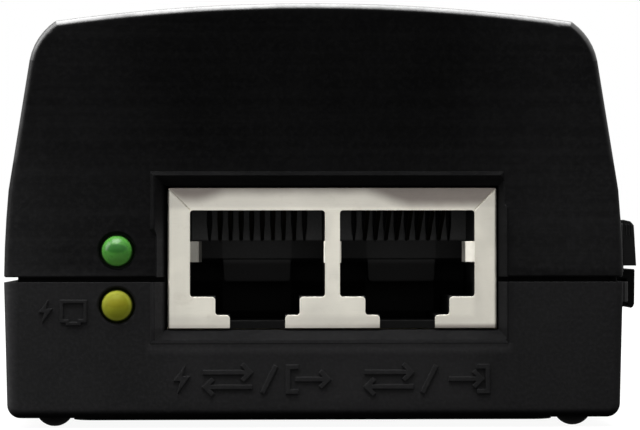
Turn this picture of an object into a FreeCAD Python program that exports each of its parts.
import FreeCAD, Part
import os
import math
from FreeCAD import Vector as V

# Power-over-Ethernet injector, millimetres.
# +X is right seen from the socket end, +Y points to the mains end, +Z is up.
# The origin is the centre of the underside panel.

os.makedirs("parts", exist_ok=True)

X_AXIS, Y_AXIS, Z_AXIS = (1, 0, 0), (0, 1, 0), (0, 0, 1)

# body: section points are (x, z) on the right half, about the shells' middle plane
LENGTH = 118.0
SOCKET_Y, MAINS_Y = -LENGTH / 2, LENGTH / 2   # end faces
MIDDLE_X = 0.10             # the shells' middle plane, right of the origin
SEAM_HI, SEAM_LO = 13.30, 12.84     # shadow gap between the two shells
APEX = (0, 38.84)
CREASE = (24.08, 37.16)
SHOULDER_MID = (25.56, 35.72)       # middle of the shoulder arc
SHOULDER = (26.51, 33.49)
BEND = (28.46, 21.4)
FLANK_MID = (28.74, 17.5)           # middle of the flank arc
SEAM = (28.88, SEAM_LO)
FOOT_X, FOOT_R = 28.58, 1.25        # bottom edge and its rounding
RIM_Z = 0.20                # bottom of the outer rim, above the underside panel
END_ROUND = 0.75            # rounding of the end faces' edges
SEAM_BEVEL = 0.12
WALL = 2.2
SKIRT = 1.15                # outer skin of the cover beside the lip
LIP_INSET = 1.25
LIP_TOP = 15.8
SKIRT_TOP = LIP_TOP + 0.15
FLOOR_Z = 2.55              # inside floor height
PANEL_X, PANEL_Y = 22.4, 58.35      # half sizes of the underside panel
ABOVE = 60                  # clears the top of the body

# circuit board
PCB_LO, PCB_HI = 6.9, 8.5
PCB_X, PCB_Y0, PCB_Y1 = 24.5, -56.0, 53.0
TAIL_Z = PCB_LO - 1.2       # lower end of formed and flat tails
LEAD_Z = PCB_LO - 1.3       # lower end of round leads
BOARD_HOLES = []            # x, y, radius; each part adds the holes for its own leads

BOSSES = [(x, y) for y in (-36.0, 30.5) for x in (-21.6, 21.6)]
BOSS_R, SCREW_R = 2.9, 1.5
POSTS = [(-22.0, -52.0), (22.0, -52.0), (-22.5, -12.0), (22.5, -12.0),
         (-22.5, 14.0), (22.5, 14.0), (-21.0, 50.5), (21.0, 50.5)]

# twin jack
JACK_X0, JACK_X1, JACK_Z0, JACK_Z1 = -13.58, 17.12, 8.54, 21.63
JACK_Y0, JACK_Y1 = -58.62, -42.6
JACK_GAP = 0.16             # clearance between shield and shells
PORTS = [(-5.215, "out"), (8.755, "in")]      # centre x, name
PORT_W, PORT_TOP, PORT_BOT = 12.58, 19.51, 11.45
STEP1_W, STEP1_Z = 7.85, 9.75
STEP2_W = 5.15
SHEET = 0.25
FRAME_H = 0.4               # frame round the jack window stands this proud
FRAME_X0, FRAME_X1 = -15.16, 18.14
FRAME_Z0, FRAME_Z1 = 7.16, 23.07

# indicator lamps
LED_X, GREEN_Z, YELLOW_Z = -18.28, 15.75, 10.67
LED_HOLE_R = 1.68

# mains inlet
INLET_Z = 18.45
INLET_W, INLET_H, INLET_CLIP = 27.6, 19.8, 4.6

# side latch
LATCH_Y0, LATCH_Y1 = -51.5, -37.5
PIVOT_X, PIVOT_Z = 29.78, 15.10
PAD_HI_X, PAD_LO_X = 30.02, 30.44   # outer faces of the upper and lower pads
LATCH_END = 1.2             # end walls that carry the latch pin
LATCH_PIN_R = 0.36


# ---------------------------------------------------------------------------
# helpers
# ---------------------------------------------------------------------------
def box(xa, xb, ya, yb, za, zb):
    """Box between two opposite corners, given in any order."""
    corner = V(min(xa, xb), min(ya, yb), min(za, zb))
    return Part.makeBox(abs(xb - xa), abs(yb - ya), abs(zb - za), corner)


def cyl(x, y, z, radius, height, axis=Z_AXIS):
    return Part.makeCylinder(radius, height, V(x, y, z), V(*axis))


def cone(x, y, z, radius1, radius2, height, axis=Z_AXIS):
    return Part.makeCone(radius1, radius2, height, V(x, y, z), V(*axis))


def prism(corners, depth):
    return Part.Face(Part.makePolygon(corners + corners[:1])).extrude(depth)


def prism_xz(points, y0, y1):
    return prism([V(x, y0, z) for x, z in points], V(0, y1 - y0, 0))


def prism_xy(points, z0, z1):
    return prism([V(x, y, z0) for x, y in points], V(0, 0, z1 - z0))


def prism_yz(points, x0, x1):
    return prism([V(x0, y, z) for y, z in points], V(x1 - x0, 0, 0))


def slab(z0, z1):
    return box(-80, 80, -80, 80, z0, z1)


def fuse(shapes):
    joined = shapes[0].multiFuse(shapes[1:])
    try:
        return joined.removeSplitter()
    except Exception:       # merging coplanar faces can fail; the plain union will do
        return joined


def cut(shape, tools):
    return shape.cut(Part.makeCompound(tools))


def on_plane(edge, axis, value):
    b = edge.BoundBox
    lo, hi = {"x": (b.XMin, b.XMax), "y": (b.YMin, b.YMax), "z": (b.ZMin, b.ZMax)}[axis]
    return abs(lo - value) < 1e-4 and abs(hi - value) < 1e-4


def spans(edge, axis, length):
    """Whether the edge measures this length along the axis."""
    b = edge.BoundBox
    size = {"x": b.XLength, "y": b.YLength, "z": b.ZLength}[axis]
    return abs(size - length) < 1e-4


def round_edges(shape, size, wanted, chamfer=False):
    """Fillet or chamfer every edge that passes the test."""
    def apply(target, edges):
        make = target.makeChamfer if chamfer else target.makeFillet
        return make(size, edges)

    edges = [e for e in shape.Edges if wanted(e)]
    if not edges:
        return shape
    try:
        result = apply(shape, edges)
        if result.isValid() and result.Volume > 0.5 * shape.Volume:
            return result
    except Exception:       # the edges may not round together; go one by one instead
        pass
    good = shape
    for edge in edges:
        try:
            middle = edge.CenterOfMass
            same = [e for e in good.Edges if (e.CenterOfMass - middle).Length < 1e-4]
            result = apply(good, same)
            if result.isValid():
                good = result
        except Exception:   # an edge that can't be rounded stays sharp
            pass
    return good


def dome_radius(radius, height):
    """Sphere radius of a cap with this base radius and height."""
    return (radius * radius + height * height) / (2 * height)


def leads(places, radius, top_z):
    """Round leads through the board, with their board holes."""
    BOARD_HOLES.extend((x, y, radius + 0.12) for x, y in places)
    return [cyl(x, y, LEAD_Z, radius, top_z - LEAD_Z) for x, y in places]


def export(name, shape):
    solids = shape.Solids
    piece = solids[0] if len(solids) == 1 else Part.makeCompound(solids)
    piece.exportStep("parts/%s.step" % name)


# ---------------------------------------------------------------------------
# body section
# ---------------------------------------------------------------------------
def mirrored(point):
    return -point[0], point[1]


def arc_points(start, middle, end, n):
    """n evenly spaced points on the arc through three points; the end is left out."""
    (ax, az), (mx, mz), (bx, bz) = start, middle, end
    a2, m2, b2 = ax * ax + az * az, mx * mx + mz * mz, bx * bx + bz * bz
    d = 2 * (ax * (mz - bz) + mx * (bz - az) + bx * (az - mz))
    cx = (a2 * (mz - bz) + m2 * (bz - az) + b2 * (az - mz)) / d
    cz = (a2 * (bx - mx) + m2 * (ax - bx) + b2 * (mx - ax)) / d
    r = math.hypot(ax - cx, az - cz)
    t0, t1 = math.atan2(az - cz, ax - cx), math.atan2(bz - cz, bx - cx)
    angles = [t0 + (t1 - t0) * k / n for k in range(n)]
    return [(cx + r * math.cos(t), cz + r * math.sin(t)) for t in angles]


def body_wire():
    """Outer section at y = 0, clockwise from the left crease."""
    def at(point):
        return V(point[0] + MIDDLE_X, 0, point[1])

    def line(a, b):
        return Part.makeLine(at(a), at(b))

    def arc(a, m, b):
        return Part.Arc(at(a), at(m), at(b)).toShape()

    def arc_chain(a, m, b, n):
        q = arc_points(a, m, b, 2 * n) + [b]
        return [arc(*q[2 * k:2 * k + 3]) for k in range(n)]

    inset = FOOT_R * (1 - math.sqrt(0.5))
    foot_side = (FOOT_X, RIM_Z + FOOT_R)
    foot_mid = (FOOT_X - inset, RIM_Z + inset)
    foot_under = (FOOT_X - FOOT_R, RIM_Z)
    edges = arc_chain(mirrored(CREASE), APEX, CREASE, 16)
    edges += arc_chain(CREASE, SHOULDER_MID, SHOULDER, 2)
    edges += [line(SHOULDER, BEND),
              arc(BEND, FLANK_MID, SEAM),
              line(SEAM, foot_side),
              arc(foot_side, foot_mid, foot_under),
              line(foot_under, mirrored(foot_under)),
              arc(mirrored(foot_under), mirrored(foot_mid), mirrored(foot_side)),
              line(mirrored(foot_side), mirrored(SEAM)),
              arc(mirrored(SEAM), mirrored(FLANK_MID), mirrored(BEND)),
              line(mirrored(BEND), mirrored(SHOULDER))]
    edges += arc_chain(mirrored(SHOULDER), mirrored(SHOULDER_MID), mirrored(CREASE), 2)
    return Part.Wire(edges)


def inset_section(inset):
    """Faceted section, each side moved inward by the inset."""
    roof_mid = (CREASE[0] / 2, APEX[1] - (APEX[1] - CREASE[1]) / 4)
    right = arc_points(APEX, roof_mid, CREASE, 8)[1:]
    right += arc_points(CREASE, SHOULDER_MID, SHOULDER, 4)
    right += [SHOULDER, BEND, FLANK_MID, SEAM, (FOOT_X - 0.04, RIM_Z)]
    points = right + [mirrored(p) for p in reversed(right)]

    def inset_line(p, q):
        dx, dz = q[0] - p[0], q[1] - p[1]
        length = math.hypot(dx, dz)
        nx, nz = dz / length, -dx / length      # inward for a clockwise outline
        return nx, nz, nx * p[0] + nz * p[1] + inset

    moved = []
    for i, point in enumerate(points):
        a1, b1, c1 = inset_line(points[i - 1], point)
        a2, b2, c2 = inset_line(point, points[(i + 1) % len(points)])
        det = a1 * b2 - a2 * b1
        if abs(det) < 1e-6:     # the two sides run in line
            moved.append((point[0] + a1 * inset, point[1] + b1 * inset))
        else:
            moved.append(((c1 * b2 - c2 * b1) / det, (a1 * c2 - a2 * c1) / det))
    return [(x + MIDDLE_X, z) for x, z in moved]


def body_outside():
    face = Part.Face(body_wire())
    face.translate(V(0, SOCKET_Y, 0))
    body = face.extrude(V(0, LENGTH, 0))
    return round_edges(body, END_ROUND, lambda e: on_plane(e, "y", SOCKET_Y)
                       or on_plane(e, "y", MAINS_Y))


def body_inset(inset):
    return prism_xz(inset_section(inset), SOCKET_Y + inset, MAINS_Y - inset)


OUTSIDE = body_outside()
ROOM = body_inset(WALL)
IN_SKIN = body_inset(1.0)       # keeps inner ribs from breaking through the skin


# ---------------------------------------------------------------------------
# openings shared by both shells
# ---------------------------------------------------------------------------
def window_wire(x0, x1, z0, z1, y):
    return Part.makePolygon([V(x0, y, z0), V(x1, y, z0), V(x1, y, z1), V(x0, y, z1),
                             V(x0, y, z0)])


def socket_end_cuts():
    """Bevelled jack window and the two stepped lamp holes."""
    x0, x1 = JACK_X0 - JACK_GAP, JACK_X1 + JACK_GAP
    z0, z1 = JACK_Z0 - JACK_GAP, JACK_Z1 + JACK_GAP
    bevel = 1.02
    front = window_wire(x0 - bevel, x1 + bevel - 0.12, z0 - bevel + 0.05, z1 + bevel - 0.05,
                        SOCKET_Y - FRAME_H - 0.02)
    back = window_wire(x0, x1, z0, z1, SOCKET_Y + 0.55)
    cuts = [Part.makeLoft([front, back], True),
            box(x0, x1, SOCKET_Y - 2, SOCKET_Y + 4, z0, z1)]
    for z in (GREEN_Z, YELLOW_Z):
        cuts += [cyl(LED_X, SOCKET_Y - 1, z, LED_HOLE_R, 1 + SKIRT + 0.2, Y_AXIS),
                 cyl(LED_X, SOCKET_Y + SKIRT, z, 2.1, 3, Y_AXIS),
                 cone(LED_X, SOCKET_Y - 0.001, z, LED_HOLE_R + 0.16, LED_HOLE_R - 0.02,
                      0.18, Y_AXIS)]
    return cuts


def clipped_prism(half_w, half_h, clip, radius, y0, y1):
    """Rounded rectangle about the inlet centre with its two upper corners clipped."""
    w, h = half_w, half_h
    points = [(-w, -h), (w, -h), (w, h - clip), (w - clip, h), (-w + clip, h), (-w, h - clip)]
    block = prism_xz([(x, INLET_Z + z) for x, z in points], y0, y1)
    return round_edges(block, radius, lambda e: spans(e, "y", y1 - y0))


def inlet_block(grow, y0, y1):
    return clipped_prism(INLET_W / 2 + grow, INLET_H / 2 + grow, INLET_CLIP,
                         min(0.8 + grow, 1.6), y0, y1)


SOCKET_END_CUTS = socket_end_cuts()
# through hole and shallow sunk surround
INLET_CUTS = [inlet_block(0.15, MAINS_Y - WALL - 2, MAINS_Y + 2),
              inlet_block(1.7, MAINS_Y - 0.45, MAINS_Y + 2)]


def latch_pad(profile, root_x, face_x, nose_z0, nose_z1):
    """Pad on the right wall with a nose at its socket end, rounded in plan."""
    front = LATCH_Y0
    nose_points = [
        (26.9, front - 3.4), (28.2, front - 3.3), (28.9, front - 2.9),
        (face_x - 0.55, front - 2.0), (face_x - 0.22, front - 1.2),
        (face_x - 0.05, front - 0.45), (face_x, front), (face_x, front + 0.5),
        (26.9, front + 0.5)]
    nose = prism_xy(nose_points, nose_z0, nose_z1).common(box(root_x, 40, -70, 0, 0, 40))
    return fuse([prism_xz(profile, LATCH_Y0, LATCH_Y1), nose]).cut(ROOM)


def latch_pin_hole():
    return cyl(PIVOT_X, LATCH_Y0 + 0.48, PIVOT_Z, LATCH_PIN_R, 20, Y_AXIS)


# ---------------------------------------------------------------------------
# top cover
# ---------------------------------------------------------------------------
def frame_upper():
    """Frame round the jack window above the seam, stepped at both sides."""
    points = [(FRAME_X0, FRAME_Z1), (17.70, FRAME_Z1), (17.70, 20.15), (FRAME_X1, 19.75),
              (FRAME_X1, SEAM_HI), (-14.70, SEAM_HI), (-14.70, 17.15), (FRAME_X0, 17.75)]
    frame = prism_xz(points, SOCKET_Y - FRAME_H, SOCKET_Y + 0.8)
    return round_edges(frame, 0.28, lambda e: on_plane(e, "y", SOCKET_Y - FRAME_H)
                       and e.BoundBox.ZMin > SEAM_HI - 1e-3
                       and not on_plane(e, "z", SEAM_HI), chamfer=True)


def cover_bosses():
    """Screw bosses, each tied to the side wall by a web."""
    out = []
    for x, y in BOSSES:
        side = 1 if x > 0 else -1
        out.append(cyl(x, y, 11.2, BOSS_R, 30).common(IN_SKIN))
        out.append(box(x, x + side * 5, y - 0.6, y + 0.6, 16.5, 36).common(IN_SKIN))
    return out


def hold_down_ribs():
    """Ribs from the side walls down to the board, set back beside the lip."""
    inside_lip = body_inset(2.35)
    out = []
    for y in (-12.0, 14.0):
        for side in (-1, 1):
            x = side * 24.0
            rib = box(x - side * 0.8, x + side * 3.4, y - 0.7, y + 0.7, PCB_HI + 0.05, 35)
            out.append(rib.common(IN_SKIN).common(slab(SKIRT_TOP, ABOVE)))
            out.append(rib.common(inside_lip).common(slab(0, LIP_TOP + 0.6)))
    return out


def top_cover():
    top = OUTSIDE.common(slab(SEAM_HI, ABOVE))
    top = round_edges(top, SEAM_BEVEL, lambda e: on_plane(e, "z", SEAM_HI), chamfer=True)
    top = top.cut(ROOM.common(slab(SKIRT_TOP, ABOVE)))
    top = top.cut(body_inset(SKIRT).common(slab(0, SKIRT_TOP)))
    top = fuse([top] + cover_bosses())
    top = fuse([top, frame_upper()])
    top = cut(top, SOCKET_END_CUTS)
    top = cut(top, INLET_CUTS)
    root_x, pad_z0 = 27.81, SEAM_HI + 0.35
    profile = [(root_x, pad_z0), (PAD_HI_X, pad_z0), (PAD_HI_X, 18.30),
               (PAD_HI_X - 0.27, 18.62), (root_x, 18.62)]
    top = fuse([top, latch_pad(profile, root_x, PAD_HI_X, pad_z0, 18.30)])
    y0, y1 = LATCH_Y0 + LATCH_END, LATCH_Y1 - LATCH_END
    barrel_room = fuse([cyl(PIVOT_X, y0, PIVOT_Z, 0.80, y1 - y0, Y_AXIS),
                        box(PIVOT_X - 0.62, 32, y0, y1, SEAM_HI - 0.5, PIVOT_Z)])
    top = cut(top, [barrel_room, latch_pin_hole()])
    # pilot holes of the screws' own radius
    top = cut(top, [cyl(x, y, 5, SCREW_R, 16.2) for x, y in BOSSES])
    return fuse([top] + hold_down_ribs())


# ---------------------------------------------------------------------------
# raised pictograms on the lower part of the socket face
# ---------------------------------------------------------------------------
RELIEF = 0.2
STROKE_W = 0.42
ICON_Z = 3.8                # middle of the row under the sockets


def relief(points):
    return prism_xz(points, SOCKET_Y - RELIEF, SOCKET_Y + 0.3)


def stroke(points, width=STROKE_W):
    """One bar per segment, run on a little at both ends so that corners close."""
    out = []
    for (xa, za), (xb, zb) in zip(points[:-1], points[1:]):
        dx, dz = xb - xa, zb - za
        length = math.hypot(dx, dz)
        ux, uz = dx / length, dz / length
        over = width * 0.45
        xa, za, xb, zb = xa - ux * over, za - uz * over, xb + ux * over, zb + uz * over
        px, pz = -uz * width / 2, ux * width / 2
        out.append(relief([(xa + px, za + pz), (xb + px, zb + pz),
                           (xb - px, zb - pz), (xa - px, za - pz)]))
    return out


def arrow(x, z, length, side):
    tip, head = x + side * length / 2, 0.62
    back = tip - side * head
    return (stroke([(x - side * length / 2, z), (tip - side * 0.25, z)])
            + stroke([(back, z + head), (tip, z), (back, z - head)]))


def bolt(x, z, height):
    scale = height / 2.6
    points = [(0.35, 1.3), (-0.75, -0.15), (-0.1, -0.15), (-0.35, -1.3), (0.8, 0.3),
              (0.12, 0.3)]
    return [relief([(x + a * scale, z + b * scale) for a, b in points])]


def bracket(x, side):
    half, arm = 2.3 / 2, x + side * 0.8
    return stroke([(arm, ICON_Z + half), (x, ICON_Z + half), (x, ICON_Z - half),
                   (arm, ICON_Z - half)])


def data_sign(x):
    """Opposed arrows, then a slanting stroke on their right."""
    return (arrow(x, 4.45, 4.2, 1) + arrow(x, 3.1, 4.2, -1)
            + stroke([(x + 3.3 - 0.1 * (x > 0), 2.7), (x + 4.4 - 0.1 * (x > 0), 4.9)]))


def pictograms():
    # beside the yellow lamp: bolt and a small socket outline
    icons = bolt(-24.9, 10.15, 2.15)
    icons += stroke([(-23.4, 9.25), (-23.4, 11.05), (-21.2, 11.05), (-21.2, 9.25),
                     (-21.75, 9.25), (-21.75, 9.0), (-22.85, 9.0), (-22.85, 9.25),
                     (-23.4, 9.25)], width=0.3)
    # under the left socket: the last arrow leaves its bracket
    icons += bolt(-12.3, ICON_Z, 2.6) + data_sign(-8.0)
    icons += bracket(-2.4, 1) + arrow(-0.1, ICON_Z, 2.9, 1)
    # under the right socket: the last arrow enters its bracket
    icons += data_sign(7.0)
    icons += bracket(16.2, -1) + arrow(14.2, ICON_Z, 2.9, 1)
    return icons


# ---------------------------------------------------------------------------
# bottom case
# ---------------------------------------------------------------------------
def frame_lower():
    points = [(FRAME_X0, FRAME_Z0), (FRAME_X1, FRAME_Z0), (FRAME_X1, SEAM_LO),
              (FRAME_X0, SEAM_LO)]
    frame = prism_xz(points, SOCKET_Y - FRAME_H, SOCKET_Y + 0.8)
    return round_edges(frame, 0.28, lambda e: on_plane(e, "y", SOCKET_Y - FRAME_H)
                       and not on_plane(e, "z", SEAM_LO), chamfer=True)


def bottom_case():
    case = OUTSIDE.common(slab(-5, SEAM_LO))
    case = round_edges(case, SEAM_BEVEL, lambda e: on_plane(e, "z", SEAM_LO), chamfer=True)
    panel_top = RIM_Z + 0.3
    panel = box(-PANEL_X, PANEL_X, -PANEL_Y, PANEL_Y, 0, panel_top)
    panel = round_edges(panel, 2.0, lambda e: spans(e, "z", panel_top))
    case = fuse([case, panel])
    case = case.cut(ROOM.common(slab(FLOOR_Z, ABOVE)))

    lip = body_inset(LIP_INSET).common(slab(SEAM_LO - 0.6, LIP_TOP)).cut(ROOM)
    bosses = [cyl(x, y, 1.0, BOSS_R, 11.15 - 1.0) for x, y in BOSSES]
    boss_feet = [cyl(x, y, 1.0, 3.9, 4.4) for x, y in BOSSES]
    posts = [cyl(x, y, 2.0, 1.6, PCB_LO - 2.0) for x, y in POSTS]
    case = fuse([case, lip, frame_lower()] + bosses + boss_feet + posts)

    root_x, pad_z0, pad_z1 = 27.4, 10.80, SEAM_LO - 0.12
    profile = [(root_x, 10.25), (29.9, 10.25), (PAD_LO_X, pad_z0), (PAD_LO_X, pad_z1),
               (root_x, pad_z1)]
    pad = latch_pad(profile, root_x, PAD_LO_X, pad_z0, pad_z1)
    # key on the lip that closes the parting groove behind the latch
    key = box(27.5, 28.55, LATCH_Y0 + 1.0, LATCH_Y1 - 1.0, SEAM_LO - 0.5, SEAM_HI - 0.10)
    case = fuse([case, pad, key])
    case = fuse([case] + pictograms())

    case = cut(case, SOCKET_END_CUTS + INLET_CUTS)
    # screw clearance holes and head recesses from below
    case = cut(case, [cyl(x, y, -1, SCREW_R + 0.15, 20) for x, y in BOSSES]
               + [cyl(x, y, -1, 2.8, 1 + 3.2) for x, y in BOSSES])
    # catch pocket in the lower latch pad
    return cut(case, [box(29.80, 31.4, LATCH_Y0 + 2.4, LATCH_Y1 - 2.4, 10.98, 12.05)])


def feet():
    """Four domed pads under the rim corners."""
    radius, height = 1.6, 0.92
    sphere_r = dome_radius(radius, height)
    low = RIM_Z - height
    out = []
    for x in (-24.25, 24.53):
        for y in (-55.6, 55.6):
            ball = Part.makeSphere(sphere_r, V(x, y, low + sphere_r))
            pad = ball.common(cyl(x, y, low - 0.1, radius, height + 0.1))
            out.append(pad.common(box(x - 3, x + 3, y - 3, y + 3, -3, RIM_Z)))
    return Part.makeCompound(out)


def case_screws():
    """Cross-head screws, heads down."""
    head_z, shank_z, shank_len = 1.15, 3.2, 16.5
    out = []
    for x, y in BOSSES:
        head = cyl(x, y, head_z, 2.55, shank_z - head_z)
        head = round_edges(head, 0.7, lambda e: on_plane(e, "z", head_z))
        cross = fuse([box(x - 1.5, x + 1.5, y - 0.3, y + 0.3, 0.5, 2.2),
                      box(x - 0.3, x + 0.3, y - 1.5, y + 1.5, 0.5, 2.2)])
        shank = cyl(x, y, shank_z, SCREW_R, shank_len)
        tip = cone(x, y, shank_z + shank_len, SCREW_R, 0.5, 1.2)
        out.append(fuse([head.cut(cross), shank, tip]))
    return Part.makeCompound(out)


export("top_cover", top_cover())
export("bottom_case", bottom_case())
export("feet", feet())
export("case_screws", case_screws())

# ---------------------------------------------------------------------------
# twin jack: formed shield, insulator, spring and fixed contacts
# ---------------------------------------------------------------------------
CONTACT_PITCH = 1.02
CONTACT_HALF = 0.17         # half thickness of a contact
HINGE_Y, HINGE_Z = -56.3, 19.72     # upper front end of the spring contacts
CONTACT_TOP = 20.39
CAVITY_Y1 = -46.4
COMB_Y0 = JACK_Y0 + 9.4     # front of the comb wall at the back of each socket
COMB_Z0 = 16.72             # comb slots end here; a plain band runs below
BAND_Z0 = 14.62
PEGS = [(-9.0, -52.5), (12.5, -52.5)]
# x and row y of every fixed contact, staggered in two rows
FIXED_PLACES = [(centre + (k - 3.5) * CONTACT_PITCH, -44.6 if k % 2 == 0 else -43.7)
                for centre, _ in PORTS for k in range(8)]


def stepped_port(centre, half_w, top, shoulder_z, step_z, bottom, y0, y1):
    """Socket opening: wide above, narrowing in two steps below."""
    half1, half2 = STEP1_W / 2, STEP2_W / 2
    right = [(half_w, top), (half_w, shoulder_z), (half1, shoulder_z), (half1, step_z),
             (half2, step_z), (half2, bottom)]
    points = [(-half_w, top)] + right + [mirrored(p) for p in right[:0:-1]]
    return prism_xz([(centre + x, z) for x, z in points], y0, y1)


def port_opening(centre):
    bottom = JACK_Z0 - 1
    opening = stepped_port(centre, PORT_W / 2, PORT_TOP, PORT_BOT, STEP1_Z, bottom,
                           JACK_Y0 - 1, JACK_Y0 + 1)
    return round_edges(opening, 0.32, lambda e: spans(e, "y", 2)
                       and e.BoundBox.ZMin > bottom + 0.05)


def shield_finger(edge_x, side):
    """Curled strip that runs back into the port from its side edge."""
    reach, t = 1.08, 0.2
    # distance into the port, distance behind the shield's front
    points = [(-0.35, 0.02), (0, 0.02), (reach * 0.75, 0.75), (reach, 1.5),
              (reach * 0.85, 2.6), (reach * 0.30, 4.6), (reach * 0.30 - t, 4.6),
              (reach * 0.85 - t, 2.55), (reach - t, 1.55), (reach * 0.75 - t * 1.1, 0.95),
              (-0.02, 0.24), (-0.35, 0.24)]
    return prism_xy([(edge_x + side * a, JACK_Y0 + b) for a, b in points], 14.68, 16.62)


def shield_bump(edge_x, side):
    """Small bump on the port edge nearest the other port."""
    points = [(0.3, 0.02), (0, 0.02), (-0.12, 0.12), (-0.12, 0.24), (0.3, 0.24)]
    return prism_xy([(edge_x + side * a, JACK_Y0 + b) for a, b in points], 14.62, 16.62)


def jack_shield():
    shell = box(JACK_X0, JACK_X1, JACK_Y0, JACK_Y1, JACK_Z0, JACK_Z1)
    shell = round_edges(
        shell, 0.3,
        lambda e: (on_plane(e, "y", JACK_Y0) and not on_plane(e, "z", JACK_Z0))
        or (spans(e, "y", JACK_Y1 - JACK_Y0) and on_plane(e, "z", JACK_Z1)))
    shield = shell.cut(box(JACK_X0 + SHEET, JACK_X1 - SHEET, JACK_Y0 + SHEET,
                           JACK_Y1 - SHEET, JACK_Z0 - 1, JACK_Z1 - SHEET))
    shield = cut(shield, [port_opening(centre) for centre, _ in PORTS])
    # the top flap of the front leans back and meets the side flaps on a mitre
    mitre = JACK_Z1 - PORT_TOP
    lean = 0.13
    flap = prism_yz([(JACK_Y0 - 0.3, JACK_Z1 + 0.5), (JACK_Y0 + lean + 0.02, JACK_Z1 + 0.5),
                     (JACK_Y0 + lean, JACK_Z1), (JACK_Y0 - 0.001, PORT_TOP + 0.02),
                     (JACK_Y0 - 0.3, PORT_TOP + 0.02)], JACK_X0 - 1, JACK_X1 + 1)
    between_mitres = prism_xz([(JACK_X0 - 0.5, JACK_Z1 + 0.5), (JACK_X1 + 0.5, JACK_Z1 + 0.5),
                               (JACK_X1 - mitre, PORT_TOP), (JACK_X0 + mitre, PORT_TOP)],
                              JACK_Y0 - 1, JACK_Y0 + 1)
    shield = shield.cut(flap.common(between_mitres))
    for side, x in ((1, JACK_X0), (-1, JACK_X1)):
        xa, za = x + side * 0.1, JACK_Z1 - 0.1
        xb, zb = x + side * mitre, JACK_Z1 - mitre
        length = math.hypot(xb - xa, zb - za)
        px, pz = -(zb - za) / length * 0.05, (xb - xa) / length * 0.05
        shield = shield.cut(prism_xz([(xa + px, za + pz), (xb + px, zb + pz),
                                      (xb - px, zb - pz), (xa - px, za - pz)],
                                     JACK_Y0 - 0.2, JACK_Y0 + 0.2))
    left, right = PORTS[0][0], PORTS[1][0]
    half = PORT_W / 2
    legs = [box(x, x + SHEET, -50.6, -49.0, TAIL_Z, JACK_Z0 + 0.3)
            for x in (JACK_X0, JACK_X1 - SHEET)]
    return fuse([shield, shield_finger(left - half, 1), shield_finger(right + half, -1),
                 shield_bump(left + half, 1), shield_bump(right - half, -1)] + legs)


def comb_wall(centre):
    half = PORT_W / 2
    wall = box(centre - half, centre + half, COMB_Y0, CAVITY_Y1 + 0.05, BAND_Z0, 19.97)
    wall = round_edges(wall, 0.35, lambda e: on_plane(e, "y", COMB_Y0)
                       and on_plane(e, "z", BAND_Z0), chamfer=True)
    for k in range(10):     # tapered slots
        x = centre + (k - 4.5) * CONTACT_PITCH
        wall = wall.cut(prism_xz([(x - 0.24, 20.1), (x + 0.24, 20.1), (x + 0.24, 18.2),
                                  (x + 0.10, COMB_Z0 + 0.05), (x, COMB_Z0 - 0.1),
                                  (x - 0.10, COMB_Z0 + 0.05), (x - 0.24, 18.2)],
                                 COMB_Y0 - 0.1, COMB_Y0 + 1.9))
    return wall


def back_tongue(centre):
    """Tapered block of the back wall under the comb's plain band."""
    top = BAND_Z0 + 0.40
    points = [(-3.30, top), (3.30, top), (3.20, 12.95), (3.00, 12.70), (-3.00, 12.70),
              (-3.20, 12.95)]
    return prism_xz([(centre + x, z) for x, z in points], COMB_Y0 + 0.12, CAVITY_Y1 + 0.05)


def jack_housing():
    gap = SHEET + 0.03
    front = JACK_Y0 + SHEET + 0.02
    block = box(JACK_X0 + gap, JACK_X1 - gap, front, JACK_Y1 - gap, PCB_HI, JACK_Z1 - gap)
    block = cut(block, [stepped_port(centre, PORT_W / 2 - 0.02, 19.95, PORT_BOT + 0.06,
                                     STEP1_Z + 0.04, 9.25, front - 1, CAVITY_Y1)
                        for centre, _ in PORTS])
    backs = []
    for centre, _ in PORTS:
        backs += [comb_wall(centre), back_tongue(centre)]
    block = fuse([block] + backs)
    # locating pegs go into the board
    block = fuse([block] + [cyl(x, y, PCB_LO + 0.1, 0.8, PCB_HI - PCB_LO) for x, y in PEGS])
    slots = []
    for x, row in FIXED_PLACES:
        slots += [box(x - 0.2, x + 0.2, HINGE_Y - 0.35, row + 0.22, 20.0, 20.45),
                  box(x - 0.2, x + 0.2, row - 0.2, row + 0.2, PCB_HI - 1, 20.45),
                  box(x - 0.24, x + 0.24, HINGE_Y - 0.4, COMB_Y0 - 0.1, 19.5, 20.45)]
    return cut(block, slots)


def port_contacts(centre):
    """Eight spring wires, from the upper front sloping down and back."""
    points = [(HINGE_Y - 0.28, HINGE_Z + 0.2), (HINGE_Y + 0.25, HINGE_Z + 0.2),
              (HINGE_Y + 0.42, HINGE_Z - 0.10), (-50.1, 17.12), (-49.45, 17.05),
              (-49.35, 16.84), (-49.45, 16.72), (-50.2, 16.76),
              (HINGE_Y + 0.1, HINGE_Z - 0.45), (HINGE_Y - 0.28, HINGE_Z - 0.18)]
    places = [centre + (k - 3.5) * CONTACT_PITCH for k in range(8)]
    return Part.makeCompound([prism_yz(points, x - CONTACT_HALF, x + CONTACT_HALF)
                              for x in places])


def jack_fixed_contacts():
    """From above the hinge back over the cavity and down through the board."""
    half = CONTACT_HALF
    out = []
    for x, row in FIXED_PLACES:
        out.append(fuse([
            box(x - half, x + half, HINGE_Y - 0.3, row + half, 20.05, CONTACT_TOP),
            box(x - half, x + half, row - half, row + half, PCB_LO - 1.1, CONTACT_TOP)]))
        BOARD_HOLES.append((x, row, 0.33))
    return Part.makeCompound(out)


export("jack_shield", jack_shield())
BOARD_HOLES += [(x, y, 0.85) for x, y in PEGS]
for port_x, port_name in PORTS:
    export(port_name + "_port_contacts", port_contacts(port_x))
export("jack_fixed_contacts", jack_fixed_contacts())
export("jack_housing", jack_housing())
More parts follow.
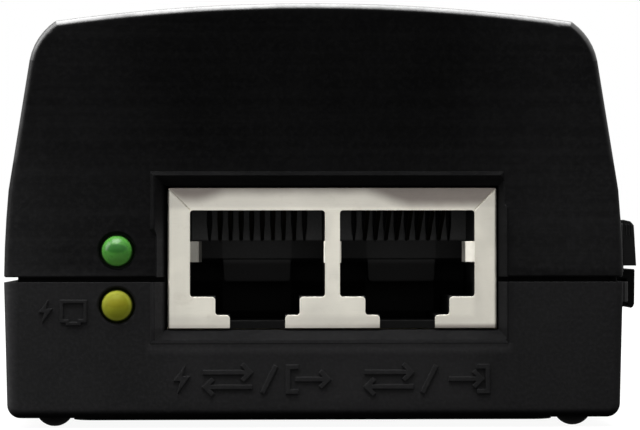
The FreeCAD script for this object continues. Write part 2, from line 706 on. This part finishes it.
# holes for the shield's legs
BOARD_HOLES += [(x, -49.8, 0.95) for x in (JACK_X0 + SHEET / 2, JACK_X1 - SHEET / 2)]

# ---------------------------------------------------------------------------
# indicator lamps
# ---------------------------------------------------------------------------
FLANGE_Y = -55.55           # front of the lamp flanges
# x, lamp height z, y where the lead turns down
LED_LEADS = [(LED_X + dx, z, y)
             for z, y in ((GREEN_Z, FLANGE_Y + 3.9), (YELLOW_Z, FLANGE_Y + 2.2))
             for dx in (-1.27, 1.27)]


def led(z):
    tip_y = SOCKET_Y - 0.75
    radius, dome_h = 1.5, 1.25
    sphere_r = dome_radius(radius, dome_h)
    barrel = cyl(LED_X, tip_y + dome_h, z, radius, FLANGE_Y - (tip_y + dome_h), Y_AXIS)
    dome = Part.makeSphere(sphere_r, V(LED_X, tip_y + sphere_r, z))
    dome = dome.common(cyl(LED_X, tip_y - 0.1, z, radius, dome_h + 0.1, Y_AXIS))
    return fuse([barrel, dome, cyl(LED_X, FLANGE_Y, z, 1.9, 1.0, Y_AXIS)])


def led_bars(x, y, z, half, front_y, low_z):
    """Square bars of an L-shaped lead: back from the lamp, then down."""
    return [box(x - half, x + half, front_y, y + half, z - half, z + half),
            box(x - half, x + half, y - half, y + half, low_z, z + half)]


def led_holder():
    holder = box(LED_X - 2.3, LED_X + 2.3, FLANGE_Y + 1.02, FLANGE_Y + 5.2, PCB_HI, 18.0)
    channels = []
    for x, z, y in LED_LEADS:
        channels += led_bars(x, y, z, 0.32, FLANGE_Y + 0.9, PCB_HI - 1)
    return cut(holder, channels)


def led_leads():
    BOARD_HOLES.extend((x, y, 0.42) for x, z, y in LED_LEADS)
    return Part.makeCompound([fuse(led_bars(x, y, z, 0.25, FLANGE_Y + 1.0, TAIL_Z))
                              for x, z, y in LED_LEADS])


export("green_led", led(GREEN_Z))
export("yellow_led", led(YELLOW_Z))
export("led_holder", led_holder())
export("led_leads", led_leads())

# ---------------------------------------------------------------------------
# mains inlet
# ---------------------------------------------------------------------------
INLET_FACE_Y = MAINS_Y + 0.25
# name, centre x, centre z
INLET_PINS = [("line", -7.0, INLET_Z - 4.0), ("neutral", 7.0, INLET_Z - 4.0),
              ("earth", 0.0, INLET_Z + 4.0)]


def pin_block(x, z, y0, y1):
    return box(x - 1.0, x + 1.0, y0, y1, z - 2.0, z + 2.0)


def inlet_body():
    above_board = box(-40, 40, 0, 80, PCB_HI, 60)
    body = inlet_block(0.0, 37.5, INLET_FACE_Y)
    body = round_edges(body, 0.35, lambda e: on_plane(e, "y", INLET_FACE_Y))
    collar = inlet_block(1.0, MAINS_Y - WALL - 1.6, MAINS_Y - WALL - 0.05)
    collar = collar.common(above_board)
    body = fuse([body.common(above_board), collar])
    body = body.cut(clipped_prism(24.4 / 2, 16.6 / 2, 3.9, 1.0,
                                  INLET_FACE_Y - 16.2, INLET_FACE_Y + 1))
    return cut(body, [pin_block(x, z, 30, INLET_FACE_Y) for _, x, z in INLET_PINS])


def inlet_pin(x, z):
    """Flat blade with a tail down through the board."""
    back_y, tip_y = 34.2, INLET_FACE_Y - 2.2
    BOARD_HOLES.append((x, 34.7, 0.9))
    blade = pin_block(x, z, back_y, tip_y)
    blade = round_edges(blade, 0.6, lambda e: on_plane(e, "y", tip_y), chamfer=True)
    return fuse([blade, box(x - 0.6, x + 0.6, back_y, back_y + 1.0, TAIL_Z, z - 1.9)])


export("inlet_body", inlet_body())
for pin_name, pin_x, pin_z in INLET_PINS:
    export("inlet_%s_pin" % pin_name, inlet_pin(pin_x, pin_z))


# ---------------------------------------------------------------------------
# mains-side board parts
# ---------------------------------------------------------------------------
def line_fuse():
    """Round moulded can."""
    x, y, top = -19.6, 40.5, PCB_HI + 7.9
    can = cyl(x, y, PCB_HI + 0.3, 4.1, 7.6)
    can = round_edges(can, 0.5, lambda e: on_plane(e, "z", top))
    return fuse([can] + leads([(x, y - 2.5), (x, y + 2.5)], 0.35, PCB_HI + 0.8))


def disc_part(x, y, height, radius, thick, axis, edge_round, places, lead_r, lead_top):
    """Disc standing on edge on two leads; heights are above the board."""
    direction = {"x": X_AXIS, "y": Y_AXIS}[axis]
    disc = cyl(x, y, PCB_HI + height, radius, thick, direction)
    disc = round_edges(disc, edge_round, lambda e: spans(e, axis, 0))
    return fuse([disc] + leads(places, lead_r, PCB_HI + lead_top))


def x_capacitor():
    top = PCB_HI + 13.5
    block = box(15.6, 23.2, 36.5, 49.0, PCB_HI, top)
    block = round_edges(block, 0.5, lambda e: e.BoundBox.ZLength > 13
                        or on_plane(e, "z", top))
    return fuse([block] + leads([(19.4, 38.2), (19.4, 47.2)], 0.4, PCB_HI + 0.5))


# common mode choke: ferrite ring standing on edge, with two windings
CHOKE_X, CHOKE_Y, CHOKE_Z = -9.9, 25.0, PCB_HI + 9.2
CHOKE_R, CHOKE_BORE_R, CHOKE_HALF = 7.6, 4.3, 3.0


def choke_core():
    ring = cyl(CHOKE_X, CHOKE_Y - CHOKE_HALF, CHOKE_Z, CHOKE_R, 2 * CHOKE_HALF, Y_AXIS)
    ring = ring.cut(cyl(CHOKE_X, CHOKE_Y - 4, CHOKE_Z, CHOKE_BORE_R, 8, Y_AXIS))
    return round_edges(ring, 0.4, lambda e: spans(e, "y", 0))


def choke_windings():
    """Six square turns round each side of the ring."""
    inner = (CHOKE_R - CHOKE_BORE_R) / 2 + 0.12
    outer = inner + 0.55
    middle_r = (CHOKE_R + CHOKE_BORE_R) / 2
    inner_y, outer_y = CHOKE_HALF + 0.06, CHOKE_HALF + 0.62
    turns = []
    for side in (-1, 1):
        for k in range(6):
            angle = math.radians(90 + side * (38 + k * 21))
            turn = box(-outer, outer, -outer_y, outer_y, -0.42, 0.42)
            turn = turn.cut(box(-inner, inner, -inner_y, inner_y, -1, 1))
            turn.rotate(V(0, 0, 0), V(0, 1, 0), -math.degrees(angle))
            turn.translate(V(CHOKE_X + middle_r * math.cos(angle), CHOKE_Y,
                             CHOKE_Z + middle_r * math.sin(angle)))
            turns.append(turn)
    return Part.makeCompound(turns)


def choke_leads():
    places = [(CHOKE_X + dx, CHOKE_Y + dy) for dx in (-5.6, 5.6) for dy in (-3.9, 3.9)]
    return Part.makeCompound(leads(places, 0.4, PCB_HI + 5.2))


def bridge_rectifier():
    top = PCB_HI + 12.4
    block = box(-0.6, 3.2, 18.2, 32.6, PCB_HI + 2.2, top)
    block = round_edges(block, 0.8, lambda e: on_plane(e, "z", top), chamfer=True)
    places = [(1.3, y) for y in (19.9, 23.6, 27.3, 31.0)]
    return fuse([block] + leads(places, 0.45, PCB_HI + 2.6))


def can_capacitor(x, y, radius, height, top_round, groove, lead_dy, lead_r):
    """Standing can; groove is (radius beyond the can, ring radius, height above board)."""
    beyond, groove_r, groove_z = groove
    base = PCB_HI + 0.1
    can = cyl(x, y, base, radius, height)
    can = round_edges(can, top_round, lambda e: on_plane(e, "z", base + height))
    can = can.cut(Part.makeTorus(radius + beyond, groove_r, V(x, y, PCB_HI + groove_z),
                                 V(0, 0, 1)))
    return fuse([can] + leads([(x, y - lead_dy), (x, y + lead_dy)], lead_r, PCB_HI + 0.6))


export("fuse", line_fuse())
export("varistor", disc_part(-21.4, 49.4, height=6.2, radius=4.2, thick=3.8, axis="x",
                             edge_round=1.2, places=[(-20.2, 47.4), (-18.8, 51.6)],
                             lead_r=0.35, lead_top=4.0))
export("x_capacitor", x_capacitor())
export("choke_core", choke_core())
export("choke_windings", choke_windings())
export("choke_leads", choke_leads())
export("bridge_rectifier", bridge_rectifier())
export("bulk_capacitor", can_capacitor(12.4, 24.4, radius=7.6, height=24.0, top_round=0.9,
                                       groove=(0.3, 0.55, 2.4), lead_dy=3.75, lead_r=0.4))

# ---------------------------------------------------------------------------
# transformer: two E cores, bobbin, wound coil
# ---------------------------------------------------------------------------
TR_X, TR_Y, TR_Z = -1.0, 4.0, PCB_HI + 4.0      # centre in plan, bottom of the core
CORE_W, CORE_D, CORE_H = 25.0, 9.6, 20.0
CORE_TOP = TR_Z + CORE_H
YOKE = 3.6                  # core height above and below the windows
BOBBIN_Z0, BOBBIN_Z1 = TR_Z + YOKE + 0.05, CORE_TOP - YOKE - 0.05
PIN_ROW_Y = 8.0             # pin rows, either side of the centre
TR_PINS = [(TR_X + (k - 2) * 4.6, TR_Y + side * PIN_ROW_Y)
           for side in (-1, 1) for k in range(5)]


def block_about(half_x, half_y, z0, z1, dy=0.0):
    """Box centred on the transformer in plan, or dy along Y from it."""
    y = TR_Y + dy
    return box(TR_X - half_x, TR_X + half_x, y - half_y, y + half_y, z0, z1)


def transformer_core():
    windows = [box(TR_X + xa, TR_X + xb, TR_Y - 10, TR_Y + 10, TR_Z + YOKE, CORE_TOP - YOKE)
               for xa, xb in ((-8.6, -4.2), (4.2, 8.6))]
    return cut(block_about(CORE_W / 2, CORE_D / 2, TR_Z, CORE_TOP), windows)


def transformer_bobbin():
    flange_x, flange_y, flange_h = 8.45, 9.6, 0.9
    parts = [block_about(5.0, 5.7, BOBBIN_Z0, BOBBIN_Z1),
             block_about(flange_x, flange_y, BOBBIN_Z0, BOBBIN_Z0 + flange_h),
             block_about(flange_x, flange_y, BOBBIN_Z1 - flange_h, BOBBIN_Z1)]
    for dy in (-PIN_ROW_Y, PIN_ROW_Y):      # pin rails and their stems
        parts.append(block_about(10.5, 1.7, PCB_HI, PCB_HI + 2.6, dy))
        parts.append(block_about(3.5, 1.6, PCB_HI + 2.4, BOBBIN_Z0 + 0.3, dy))
    bobbin = fuse(parts).cut(block_about(4.25, CORE_D / 2 + 0.05, TR_Z, CORE_TOP))
    return cut(bobbin, [cyl(x, y, PCB_LO - 2, 0.4, 5.6) for x, y in TR_PINS])


def transformer_winding():
    coil = block_about(8.1, 9.2, BOBBIN_Z0 + 1.0, BOBBIN_Z1 - 1.0)
    coil = round_edges(coil, 2.2, lambda e: e.BoundBox.ZLength > 5)
    return coil.cut(block_about(5.05, 5.75, 0, 60))


def transformer_pins():
    BOARD_HOLES.extend((x, y, 0.52) for x, y in TR_PINS)
    return Part.makeCompound([cyl(x, y, LEAD_Z, 0.4, 4.2) for x, y in TR_PINS])


tr_core = transformer_core()
core_split = TR_Z + CORE_H / 2
export("transformer_core_lower", tr_core.common(slab(0, core_split - 0.05)))
export("transformer_core_upper", tr_core.common(slab(core_split + 0.05, 60)))
export("transformer_winding", transformer_winding())
export("transformer_pins", transformer_pins())
export("transformer_bobbin", transformer_bobbin())

# ---------------------------------------------------------------------------
# heat sinks, with a power part lying against each plate
# ---------------------------------------------------------------------------
SINK_SCREW_Z = PCB_HI + 16.4
SINK_SCREW_R = 1.25


def heatsink(x0, x1, y0, y1, top, side, hole_y):
    """Upright plate with six fins on the given side and two tails into the board."""
    z0 = PCB_HI + 1.0
    face = x0 if side < 0 else x1
    shapes = [box(x0, x1, y0, y1, z0, top)]
    for k in range(6):
        y = y0 + 1.0 + k * (y1 - y0 - 2.8) / 5
        shapes.append(box(face - side * 0.1, face + side * 3.0, y, y + 0.8, z0, top))
    sink = fuse(shapes)
    for y in (y0 + 2.5, y1 - 2.5):
        sink = fuse([sink, box(x0 + 0.3, x1 - 0.3, y - 0.6, y + 0.6, PCB_LO - 1.0, z0 + 0.5)])
        BOARD_HOLES.append(((x0 + x1) / 2, y, 0.95))
    return sink.cut(cyl(x0 - 10, hole_y, SINK_SCREW_Z, SINK_SCREW_R, 30, X_AXIS))


def power_package(x, y, side, thick, lead_x):
    """Three-lead package with a screw tab; its back is at x, its body on the given side."""
    body = box(x, x + side * thick, y - 5.0, y + 5.0, PCB_HI + 4.0, PCB_HI + 13.0)
    tab = box(x, x + side * 1.2, y - 5.0, y + 5.0, PCB_HI + 12.5, PCB_HI + 19.0)
    places = [(x + side * lead_x, y + k * 2.54) for k in (-1, 0, 1)]
    package = fuse([body, tab] + leads(places, 0.38, PCB_HI + 4.6))
    return package.cut(cyl(x - 10, y, SINK_SCREW_Z, 1.6, 30, X_AXIS))


def heatsink_screws():
    # y, shank start x, shank length, head start x
    table = [(3.0, -19.0, 3.1, -15.96), (-21.0, 15.76, 3.0, 14.34)]
    return Part.makeCompound([
        fuse([cyl(shank_x, y, SINK_SCREW_Z, SINK_SCREW_R, length, X_AXIS),
              cyl(head_x, y, SINK_SCREW_Z, 2.6, 1.4, X_AXIS)])
        for y, shank_x, length, head_x in table])


export("mosfet_heatsink", heatsink(-19.0, -17.2, -7.0, 13.0, top=30.0, side=-1, hole_y=3.0))
export("power_transistor", power_package(-17.18, 3.0, side=1, thick=2.9, lead_x=1.7))
export("diode_heatsink", heatsink(17.0, 18.8, -30.0, -12.0, top=29.0, side=1, hole_y=-21.0))
export("output_diode", power_package(16.98, -21.0, side=-1, thick=4.4, lead_x=2.6))
export("heatsink_screws", heatsink_screws())

# ---------------------------------------------------------------------------
# output-side and surface-mounted parts
# ---------------------------------------------------------------------------
INDUCTOR_X, INDUCTOR_Y = 4.4, -22.5


def output_inductor_core():
    x, y = INDUCTOR_X, INDUCTOR_Y
    return fuse([cyl(x, y, PCB_HI + 0.05, 4.4, 1.2), cyl(x, y, PCB_HI + 0.05, 2.4, 11.5),
                 cyl(x, y, PCB_HI + 10.4, 4.4, 1.2)]
                + leads([(x - 2.0, y), (x + 2.0, y)], 0.35, PCB_HI + 0.4))


def output_inductor_coil():
    coil = cyl(INDUCTOR_X, INDUCTOR_Y, PCB_HI + 1.3, 4.1, 9.0)
    coil = round_edges(coil, 0.4, lambda e: spans(e, "z", 0))
    return coil.cut(cyl(INDUCTOR_X, INDUCTOR_Y, 0, 2.45, 60))


def optocoupler():
    block = box(15.2, 21.8, 5.2, 9.8, PCB_HI + 0.5, PCB_HI + 4.0)
    block = round_edges(block, 0.3, lambda e: e.BoundBox.ZLength > 3, chamfer=True)
    legs = []
    for x0, x1, hole_x in ((14.75, 15.3, 15.02), (21.7, 22.25, 21.98)):
        for y in (6.0, 8.5):
            legs.append(box(x0, x1, y, y + 0.5, TAIL_Z, PCB_HI + 2.4))
            BOARD_HOLES.append((hole_x, y + 0.25, 0.5))
    return fuse([block] + legs)


def surface_package(x0, x1, y0, y1, height, count):
    """Block with a row of flat feet along each long side."""
    top = PCB_HI + height
    block = box(x0, x1, y0, y1, PCB_HI + 0.1, top)
    parts = [round_edges(block, 0.25, lambda e: on_plane(e, "z", top), chamfer=True)]
    for k in range(count):
        x = (x0 + x1) / 2 + (k - (count - 1) / 2) * 1.27
        for side, y in ((-1, y0), (1, y1)):
            parts.append(box(x - 0.2, x + 0.2, y - side * 0.1, y + side * 0.9,
                             PCB_HI + 0.02, PCB_HI + 0.25))
    return fuse(parts)


export("output_capacitors", Part.makeCompound([
    can_capacitor(x, -22.5, radius=5.0, height=16.0, top_round=0.6,
                  groove=(0.25, 0.45, 1.9), lead_dy=2.5, lead_r=0.32)
    for x in (-17.6, -6.4)]))
export("output_inductor_core", output_inductor_core())
export("output_inductor_coil", output_inductor_coil())
export("y_capacitor", disc_part(17.6, -3.5, height=5.4, radius=3.9, thick=3.4, axis="y",
                                edge_round=1.2, places=[(15.3, -1.8), (19.9, -1.8)],
                                lead_r=0.35, lead_top=3.6))
export("optocoupler", optocoupler())
export("inrush_limiter", disc_part(18.8, 11.8, height=5.0, radius=3.3, thick=3.0, axis="y",
                                   edge_round=0.9, places=[(17.5, 13.3), (20.1, 13.3)],
                                   lead_r=0.32, lead_top=3.4))
export("data_transformers", Part.makeCompound(
    [surface_package(x, x + 12.2, -40.0, -31.4, height=5.6, count=8) for x in (-12.6, 3.0)]))
export("poe_controller", surface_package(-22.4, -16.2, -46.2, -42.2, height=1.7, count=4))


# ---------------------------------------------------------------------------
# board and insulation sheet
# ---------------------------------------------------------------------------
def main_pcb():
    """Board drilled for every lead and notched round the bosses."""
    board = box(-PCB_X, PCB_X, PCB_Y0, PCB_Y1, PCB_LO, PCB_HI)
    board = round_edges(board, 1.0, lambda e: spans(e, "z", PCB_HI - PCB_LO))
    drills = [cyl(x, y, PCB_LO - 1, radius, 4) for x, y, radius in BOARD_HOLES]
    notch = BOSS_R + 0.35
    for x, y in BOSSES:
        side = 1 if x > 0 else -1
        drills.append(cyl(x, y, PCB_LO - 1, notch, 4))
        drills.append(box(x, x + side * 6, y - notch, y + notch, PCB_LO - 1, PCB_HI + 1))
    return cut(board, drills)


def insulation_sheet():
    sheet = box(-24.2, 24.2, -54.0, 54.0, FLOOR_Z + 0.02, FLOOR_Z + 0.3)
    return cut(sheet, [cyl(x, y, 0, 4.2, 5) for x, y in BOSSES]
               + [cyl(x, y, 0, 1.9, 5) for x, y in POSTS])


export("main_pcb", main_pcb())
export("insulation_sheet", insulation_sheet())


# ---------------------------------------------------------------------------
# side latch: housing on the cover, pin, lever over the seam
# ---------------------------------------------------------------------------
def latch_housing():
    root_x = PAD_HI_X + 0.02
    housing = prism_xz([(root_x, 18.66), (30.72, 18.50), (31.04, 18.12), (31.26, 14.24),
                        (root_x, 14.24)], LATCH_Y0, LATCH_Y1)
    housing = housing.cut(box(29.0, 32.5, LATCH_Y0 + LATCH_END, LATCH_Y1 - LATCH_END,
                              14.0, 16.35))
    ribs = []
    for k in range(3):      # on the socket end
        x = 30.28 + k * 0.26
        ribs.append(box(x - 0.055, x + 0.055, LATCH_Y0 - 0.12, LATCH_Y0 + 0.3, 17.2, 18.2))
    housing = fuse([housing] + ribs)
    for k in range(6):      # grooves in the outer face
        y = LATCH_Y0 + 2.6 + k * 1.75
        housing = housing.cut(box(30.84, 31.8, y, y + 0.6, 16.7, 18.9))
    return housing.cut(latch_pin_hole())


def latch_lever():
    y0, y1 = LATCH_Y0 + LATCH_END + 0.08, LATCH_Y1 - LATCH_END - 0.08
    barrel = cyl(PIVOT_X, y0, PIVOT_Z, 0.66, y1 - y0, Y_AXIS)
    neck = prism_xz([(PIVOT_X - 0.42, PIVOT_Z - 0.2), (PIVOT_X + 0.42, PIVOT_Z - 0.2),
                     (PIVOT_X + 0.42, 13.92), (31.0, 13.90), (31.0, 13.0),
                     (PIVOT_X - 0.25, 13.0), (PIVOT_X - 0.42, 13.2)], y0, y1)
    blade = prism_xz([(30.50, 13.90), (31.22, 13.90), (31.30, 13.80), (31.26, 10.55),
                      (31.14, 10.26), (30.94, 10.14), (30.74, 10.28), (30.66, 10.75),
                      (30.56, 12.60), (30.50, 13.0)], y0, y1)
    hook = prism_xz([(30.85, 11.75), (30.22, 11.58), (30.14, 11.38), (30.22, 11.2),
                     (30.85, 11.2)], LATCH_Y0 + 2.8, LATCH_Y1 - 2.8)
    lever = fuse([barrel, neck, blade, hook])
    return lever.cut(cyl(PIVOT_X, LATCH_Y0 - 1, PIVOT_Z, 0.40, 20, Y_AXIS))


export("latch_housing", latch_housing())
export("latch_pin", cyl(PIVOT_X, LATCH_Y0 + 0.50, PIVOT_Z, LATCH_PIN_R,
                        LATCH_Y1 - LATCH_Y0 - 0.52, Y_AXIS))
export("latch_lever", latch_lever())
